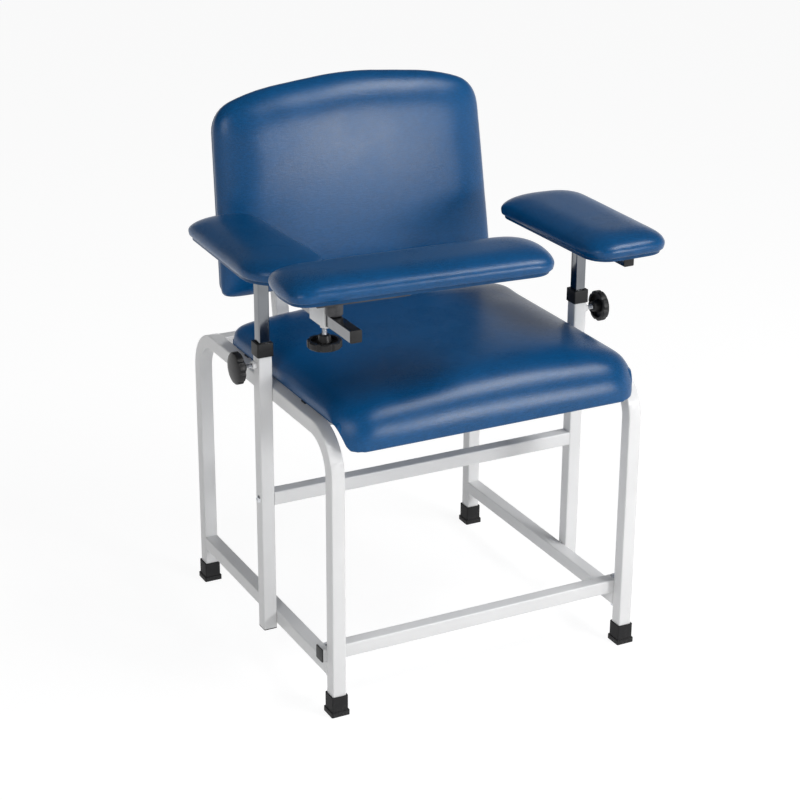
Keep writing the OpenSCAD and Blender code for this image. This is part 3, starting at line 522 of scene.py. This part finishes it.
def seat():
    """The seat: a crowned cushion whose front rolls down over the board's front edge."""
    low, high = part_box("seat_cushion")
    middle, half = (low + high) / 2, (high - low) / 2
    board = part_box("seat_board")[1].z

    def from_front(up):
        return up - low.y

    def wall(across, up):
        rear = ramp(up, high.y - 60 * MM, high.y - 20 * MM)
        return (10 + 10 * rear - 38 * (1 - ramp(from_front(up), 14 * MM, 66 * MM))) * MM

    def crown(across, up):
        side = 1 - ((across - middle.x) / half.x) ** 2
        along = (up - middle.y) / half.y
        return (27 + 19 * side * (1 - np.where(along < 0, 0.7, 0.0) * along ** 4)) * MM

    def under(across, up, depth):
        lip = 1 - ramp(from_front(up), 11 * MM, 39 * MM)
        skirt = 4.5 * (1 - ramp(depth, 4 * MM, 6.5 * MM)) * (1 - lip)
        return -(46 * lip + skirt) * MM

    cover = upholster("seat_cushion", "seat_cover", LEVEL, board, [48 * MM, 62 * MM, 18 * MM],
                      wall, crown, under, tuck=2 * MM, voxel=5.5 * MM, cap=2.5 * MM)
    dress(cover, upholstery_vinyl, "seat_cushion")


def back():
    """The back: a shallow crown inside a broad roll, on a board that leans with the uprights."""
    solid = read(nodes["back_cushion"].data) @ LEANING.T
    low, high = solid.min(axis=0), solid.max(axis=0)
    middle, half = (low + high) / 2, (high - low) / 2

    def wall(across, up):
        return 13 * MM

    def crown(across, up):
        side = 1 - ((across - middle[0]) / half[0]) ** 2
        along = 1 - ((up - middle[1]) / half[1]) ** 2
        return (39.5 + 9.5 * np.clip(side, 0, 1) * np.clip(along, 0, 1)) * MM

    def under(across, up, depth):
        return 0 * depth

    cover = upholster("back_cushion", "back_cover", LEANING, low[2], [66 * MM, 46 * MM, 56 * MM],
                      wall, crown, under, tuck=5 * MM, voxel=5.0 * MM, cap=2.5 * MM)
    dress(cover, upholstery_vinyl, "back_cushion")


for node in ("left_pad", "right_pad", "front_pad"):
    arm_pad(node)
seat()
back()


# Boards, frame, arms and small parts


def finished(names, ending, material, ease=0, segments=3):
    """Copies of CAD nodes with a finish, and with their edges rounded by ease, in millimetres."""
    for name in names:
        piece = own_copy(name, name + ending)
        dress(eased(piece, ease * MM, segments) if ease else smooth(piece), material, name)


finished(("left_pad_board", "right_pad_board", "front_pad_board"), "_cover", board_cover,
         ease=3.2, segments=4)
finished(("seat_board",), "_cover", board_cover, ease=3.0, segments=4)
finished(("back_board",), "_cover", board_cover, ease=4.0, segments=4)
finished(("left_side_frame", "right_side_frame", "left_lower_rail", "right_lower_rail",
          "left_arm_post", "right_arm_post", "upper_crossbar", "lower_crossbar",
          "front_seat_bearer", "rear_seat_bearer", "back_bearer", "left_back_upright",
          "right_back_upright"), "_coated", frame_coat)
finished(("post_weld_nuts", "carriage_nut"), "_coated", frame_coat, ease=0.9)
finished(("carriage_sleeve",), "_coated", frame_coat, ease=0.8)
# The front arm plate gets the dark housing finish as painted shadow under the front pad.
finished(("front_arm_plate",), "_coated", housing_and_shadow_coat, ease=0.8)
finished(("left_mast", "right_mast"), "_plated", mast_chrome)
finished(("left_arm_tube", "right_arm_tube"), "_plated", arm_chrome)
finished(("post_end_plugs", "lower_crossbar_plugs", "upright_plugs", "left_tube_plugs",
          "right_tube_plugs", "left_post_collar", "right_post_collar"), "_moulded", plug_plastic,
         ease=0.6)
finished(("left_knob", "right_knob", "front_knob"), "_moulded", knob_plastic,
         ease=1.5, segments=4)
finished(("front_left_foot", "front_right_foot", "rear_left_foot", "rear_right_foot"), "_moulded",
         foot_rubber, ease=1.2)
finished(("pivot_housing",), "_turned", housing_and_shadow_coat, ease=3.2, segments=6)

for node, material in (("seat_buffers", foot_rubber), ("crossbar_nut_blocks", zinc_steel),
                       ("lower_crossbar_washers", zinc_steel), ("lower_crossbar_nuts", zinc_steel),
                       ("pivot_pin", zinc_steel)):
    nodes[node].data.materials.clear()
    nodes[node].data.materials.append(material)


# Screw drives and threads


def loose_parts(piece):
    """The spots of each separate solid in a piece."""
    shape = bmesh.new()
    shape.from_mesh(piece.data)
    shape.verts.index_update()
    parts, seen = [], set()
    for start in shape.verts:
        if start.index in seen:
            continue
        seen.add(start.index)
        group, edge = [], [start]
        while edge:
            v = edge.pop()
            group.append(v.co[:])
            for e in v.link_edges:
                o = e.other_vert(v)
                if o.index not in seen:
                    seen.add(o.index)
                    edge.append(o)
        parts.append(np.array(group))
    shape.free()
    return parts


def heads(piece):
    """The tip and the outward direction of each screw in a piece: its thicker end is the head."""
    found = []
    for spots in loose_parts(piece):
        middle = (spots.max(axis=0) + spots.min(axis=0)) / 2
        axis = np.linalg.svd(spots - spots.mean(axis=0), full_matrices=False)[2][0]
        along = (spots - middle) @ axis
        off = np.linalg.norm(spots - middle - along[:, None] * axis, axis=1)
        if off[along > 0].max() < off[along < 0].max():
            axis, along = -axis, -along
        found.append((Vector(middle + axis * along.max()), Vector(axis)))
    return found


def hex_key():
    return primitive(bpy.ops.mesh.primitive_cylinder_add, vertices=6, radius=2.9 * MM, depth=5 * MM)


def cross_key():
    blades = []
    for turn in (0, math.pi / 2):
        blade = primitive(bpy.ops.mesh.primitive_cube_add, size=1)
        blade.data.transform(Matrix.Rotation(turn, 4, "Z")
                             @ Matrix.Diagonal((5.6 * MM, 1.2 * MM, 3 * MM, 1)))
        blades.append(blade)
    applied(blades[0], "BOOLEAN", operation="UNION", object=blades[1])
    bpy.data.objects.remove(blades[1])
    return blades[0]


for node, key in (("upper_crossbar_bolts", hex_key), ("lower_crossbar_bolts", hex_key),
                  ("seat_and_back_screws", cross_key), ("left_pad_screws", cross_key),
                  ("right_pad_screws", cross_key), ("front_pad_screws", cross_key)):
    piece = flattened(own_copy(node, node + "_driven"))
    for tip, out in heads(piece):
        cutter = key()
        cutter.data.transform(towards(tip, out))
        cut_from(piece, cutter)
    dress(smooth(piece, 30), zinc_steel, node)


PITCH = 1.25 * MM
THREAD_DEPTH = 0.6 * MM


def threaded(node, name, out):
    """A clamp stud with a real helical thread, as long and as wide as the CAD stud."""
    low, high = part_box(node)
    out = Vector(out)
    middle = (low + high) / 2
    length = abs((high - low).dot(out))
    radius = sorted((high - low)[:])[1] / 2
    piece = primitive(bpy.ops.mesh.primitive_plane_add, size=1)
    piece.name = name
    with editing(piece):
        bpy.ops.mesh.delete(type="VERT")
    shape = bmesh.new()
    root, crest = radius - THREAD_DEPTH, radius
    rail = [shape.verts.new(p) for p in ((root, 0, 0), (crest, 0, PITCH / 2), (root, 0, PITCH))]
    for a, b in zip(rail, rail[1:]):
        shape.edges.new((a, b))
    shape.to_mesh(piece.data)
    shape.free()
    applied(piece, "SCREW", angle=2 * math.pi, screw_offset=PITCH, iterations=int(length / PITCH) - 1,
            steps=28, render_steps=28, use_merge_vertices=True, merge_threshold=THREAD_WELD)
    with editing(piece):
        bpy.ops.mesh.remove_doubles(threshold=THREAD_WELD)
        bpy.ops.mesh.fill_holes(sides=0)
        bpy.ops.mesh.normals_make_consistent(inside=False)
    piece.data.transform(towards(middle - out * length / 2, out))
    dress(smooth(piece, 50), zinc_steel, node)


threaded("left_knob_stud", "left_stud_threaded", (-1, 0, 0))
threaded("right_knob_stud", "right_stud_threaded", (1, 0, 0))
threaded("front_knob_stud", "front_stud_threaded", (0, 0, -1))


# Floor, light and camera

FLOOR_TONE = (0.93, 0.93, 0.93)
FLOOR_RADIUS = 30
FLOOR_DROP = 0.5 * MM
FLOOR_SHARE = 0.8
LIT_FLOOR = 0.45
WALL_TONE = (0.96, 0.96, 0.96)
CEILING_TONE = (0.14, 0.143, 0.147)
CEILING_RISE = 0.05, 0.36
CAMERA_PLACE = (-1.5959, -2.9951, 1.8128)
CAMERA_DEGREES = (67.99, -0.307, -27.145)
CAMERA_LENS = 92.68


def pale_floor():
    """A matt floor that keeps the chair's shadow and looks white to the eye, to metal and to gloss."""
    floor = primitive(bpy.ops.mesh.primitive_circle_add, vertices=128, radius=FLOOR_RADIUS,
                      fill_type="NGON", location=(0, 0, -FLOOR_DROP))
    floor.name = "studio_floor"
    ground = bpy.data.materials.new("studio_floor")
    ground.use_nodes = True
    tree = ground.node_tree
    tree.nodes.clear()
    matt = wired(tree, "ShaderNodeBsdfDiffuse", {"Color": shade(FLOOR_TONE)})
    strength = (1 - (1 - FLOOR_SHARE) * LIT_FLOOR) / FLOOR_SHARE
    glow = wired(tree, "ShaderNodeEmission", {"Color": shade((1, 1, 1)), "Strength": strength})
    path = tree.nodes.new("ShaderNodeLightPath")
    seen = wired(tree, "ShaderNodeMath", {
        0: path.outputs["Is Camera Ray"], 1: path.outputs["Is Glossy Ray"]}, operation="MAXIMUM")
    through = wired(tree, "ShaderNodeMath", {
        0: seen.outputs[0], 1: path.outputs["Is Transmission Ray"]}, operation="MAXIMUM")
    share = wired(tree, "ShaderNodeMath", {0: through.outputs[0], 1: FLOOR_SHARE}, operation="MULTIPLY")
    mixed = wired(tree, "ShaderNodeMixShader", {
        0: share.outputs[0], 1: matt.outputs[0], 2: glow.outputs[0]})
    wired(tree, "ShaderNodeOutputMaterial", {"Surface": mixed.outputs[0]})
    floor.data.materials.append(ground)


def studio_world():
    """White walls round a darker ceiling, so that gloss and metal have light and dark to show."""
    world = bpy.data.worlds.new("studio")
    scene.world = world
    world.use_nodes = True
    tree = world.node_tree
    tree.nodes.clear()
    way = tree.nodes.new("ShaderNodeTexCoord")
    height = wired(tree, "ShaderNodeSeparateXYZ", {0: way.outputs["Generated"]})
    ceiling = wired(tree, "ShaderNodeMapRange", {
        "Value": height.outputs["Z"], "From Min": CEILING_RISE[0], "From Max": CEILING_RISE[1]},
        interpolation_type="SMOOTHSTEP")
    tone = wired(tree, "ShaderNodeMix", {
        0: ceiling.outputs[0], 6: shade(WALL_TONE), 7: shade(CEILING_TONE)}, data_type="RGBA")
    sky = wired(tree, "ShaderNodeBackground", {"Color": tone.outputs[2], "Strength": 1.0})
    wired(tree, "ShaderNodeOutputWorld", {"Surface": sky.outputs[0]})


def softbox(name, place, aim, width, height, power):
    data = bpy.data.lights.new(name, "AREA")
    data.shape = "RECTANGLE"
    data.size, data.size_y = width, height
    data.energy = power
    lamp = bpy.data.objects.new(name, data)
    lamp.location = place
    lamp.rotation_euler = (Vector(aim) - Vector(place)).to_track_quat("-Z", "Y").to_euler()
    scene.collection.objects.link(lamp)


def photo_camera():
    camera = bpy.data.objects.new("photo_camera", bpy.data.cameras.new("photo_camera"))
    scene.collection.objects.link(camera)
    camera.location = CAMERA_PLACE
    camera.rotation_euler = [math.radians(a) for a in CAMERA_DEGREES]
    camera.data.sensor_width = 36
    camera.data.lens = CAMERA_LENS
    camera.data.clip_end = 80
    scene.camera = camera


pale_floor()
studio_world()
softbox("right_box", (1.45, -2.9, 1.22), aim=(0, 0, 0.75), width=0.8, height=0.65, power=36)
softbox("left_box", (-2.1, -1.7, 2.1), aim=(0, 0, 0.5), width=1.2, height=1.0, power=17)
softbox("top_box", (1.35, -1.28, 2.85), aim=(0, -0.2, 0.55), width=1.5, height=0.55, power=42)
photo_camera()
scene.view_settings.view_transform = "Standard"
